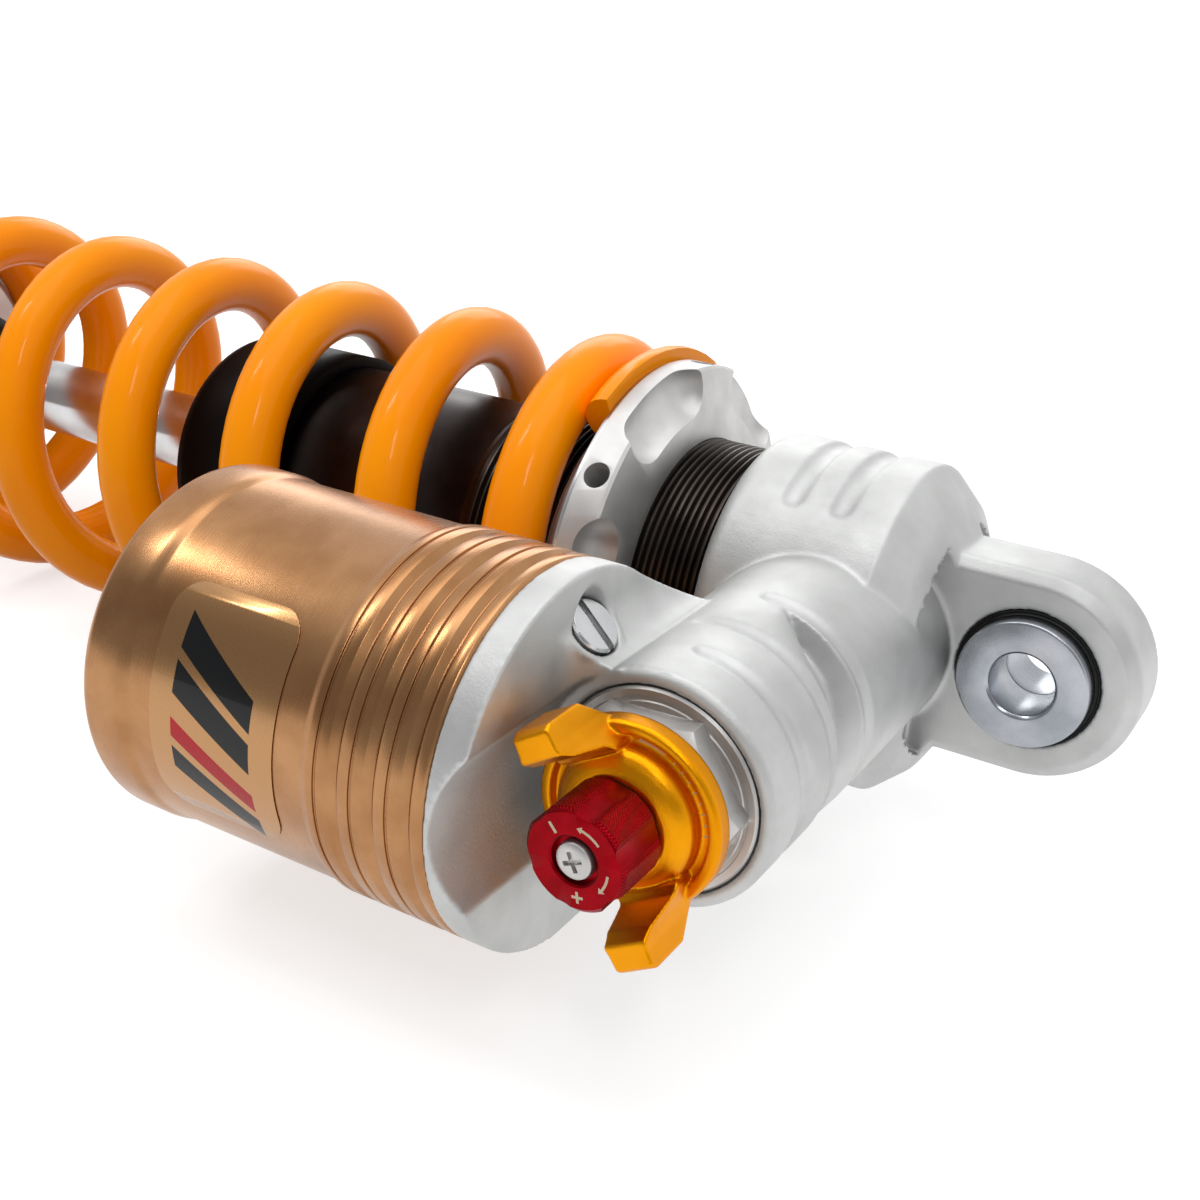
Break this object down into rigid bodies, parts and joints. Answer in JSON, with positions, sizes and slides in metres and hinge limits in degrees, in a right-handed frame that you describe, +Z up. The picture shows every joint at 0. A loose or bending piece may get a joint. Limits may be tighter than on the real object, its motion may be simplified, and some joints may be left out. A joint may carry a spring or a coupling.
{
  "type": "dirt bike rear shock absorber",
  "caption": "Coil-over rear shock absorber of a dirt bike: orange spring, side reservoir, preload collar, compression adjusters, upper eye and lower fork clevis",
  "frame": {"origin": "centre of the upper mounting eye", "axes": "+X along the damper from the lower clevis to the upper eye, +Y along the mounting bolts away from the reservoir, +Z up with the bolts and the reservoir level"},
  "size_m": [0.421, 0.1562, 0.088],
  "materials": {
    "head": "satin bead-blasted cast aluminium with machined faces",
    "body": "dark grey hard-anodised, rolled thread",
    "black_cap": "matte black",
    "machined": "turned aluminium",
    "bronze": "bronze bearing material",
    "rubber": "nitrile rubber",
    "reservoir": "bronze-gold anodised, turned",
    "steel": "ground steel",
    "brass": "turned brass",
    "plastic": "moulded nylon",
    "label": "clear glossy label film with pale stripes",
    "washer": "dark fibre washer",
    "zinc": "zinc plated, faint purple tint",
    "spring": "glossy orange-yellow powder coat",
    "collar": "polished clear anodised",
    "lever": "gold anodised, satin",
    "knob": "red anodised, knurled",
    "chrome": "hard chrome",
    "bump": "microcellular foam",
    "seat": "polished clear anodised",
    "clevis": "satin forged aluminium"
  },
  "bodies": {
    "damper_body": {"head": "head", "body_tube": "body", "body_end_cap": "black_cap", "seal_head": "machined", "rod_bush": "bronze", "oil_seal": "rubber", "dust_wiper": "rubber", "reservoir_tube": "reservoir", "reservoir_end_cap": "reservoir", "reservoir_clip": "steel", "gas_valve": "brass", "gas_valve_cap": "plastic", "reservoir_label": "label", "bleed_plug": "machined", "adjuster_body": "machined", "adjuster_oring": "rubber", "adjuster_washer": "washer", "compression_piston": "machined", "compression_shims": "steel", "eye_race": "steel", "eye_clips": "steel", "eye_seals": "rubber", "spring": "spring"},
    "upper_bush": {"eye_ball": "steel", "eye_spacers": "zinc"},
    "spring_washer": {"thrust_washer": "steel"},
    "collar": {"preload_collar": "collar", "collar_lock_screw": "steel"},
    "compression_lever": {"high_speed_lever": "lever"},
    "compression_knob": {"low_speed_knob": "knob", "knob_screw": "steel"},
    "compression_needle": {"low_speed_needle": "steel"},
    "gas_piston": {"floating_piston": "machined", "floating_piston_ring": "rubber"},
    "rod_assembly": {"rod": "chrome", "piston": "machined", "piston_band": "bronze", "piston_shims": "steel", "piston_nut": "steel", "topout_spacer": "machined", "bump_stop": "bump", "lower_seat": "seat", "seat_clip": "steel", "clevis": "clevis"},
    "rebound_screw": {"rebound_dial": "brass"},
    "rebound_push_rod": {"rebound_rod": "machined"}
  },
  "joints": [
    {"name": "damper_stroke", "type": "slide", "parent": "damper_body", "child": "rod_assembly", "axis": [1, 0, 0], "range_m": [0, 0.097], "stiffness_N_per_m": 55000, "springref_m": -0.01, "deforming": ["spring", "bump_stop"]},
    {"name": "gas_piston_slide", "type": "slide", "parent": "damper_body", "child": "gas_piston", "axis": [-1, 0, 0], "range_m": [0, 0.0095]},
    {"name": "upper_pivot", "type": "hinge", "parent": "damper_body", "child": "upper_bush", "pos_m": [0, 0, 0], "axis": [0, 1, 0], "continuous": true},
    {"name": "preload_slide", "type": "slide", "parent": "damper_body", "child": "spring_washer", "axis": [1, 0, 0], "range_m": [-0.006, 0.008], "deforming": ["spring"]},
    {"name": "preload_collar_turn", "type": "hinge", "parent": "spring_washer", "child": "collar", "pos_m": [-0.0779, 0, 0], "axis": [1, 0, 0], "range_deg": [-1440, 1920]},
    {"name": "compression_lever_turn", "type": "hinge", "parent": "damper_body", "child": "compression_lever", "pos_m": [-0.035, -0.088, 0], "axis": [0, 1, 0], "range_deg": [-360, 360]},
    {"name": "compression_knob_turn", "type": "hinge", "parent": "damper_body", "child": "compression_knob", "pos_m": [-0.035, -0.098, 0], "axis": [0, 1, 0], "range_deg": [-225, 225]},
    {"name": "compression_needle_slide", "type": "slide", "parent": "damper_body", "child": "compression_needle", "axis": [0, 1, 0], "range_m": [-0.00065, 0.00065]},
    {"name": "rebound_dial_turn", "type": "hinge", "parent": "rod_assembly", "child": "rebound_screw", "pos_m": [-0.355, -0.018, 0], "axis": [0, 1, 0], "range_deg": [-360, 360]},
    {"name": "rebound_rod_slide", "type": "slide", "parent": "rod_assembly", "child": "rebound_push_rod", "axis": [1, 0, 0], "range_m": [-0.00052, 0.00052]}
  ],
  "couplings": [
    {"joint": "gas_piston_slide", "follows": "damper_stroke", "ratio": 0.09371},
    {"joint": "preload_slide", "follows": "preload_collar_turn", "m_per_rad": 0.00023873},
    {"joint": "compression_needle_slide", "follows": "compression_knob_turn", "m_per_rad": 0.00015915},
    {"joint": "rebound_rod_slide", "follows": "rebound_dial_turn", "m_per_rad": 0.000079577}
  ]
}
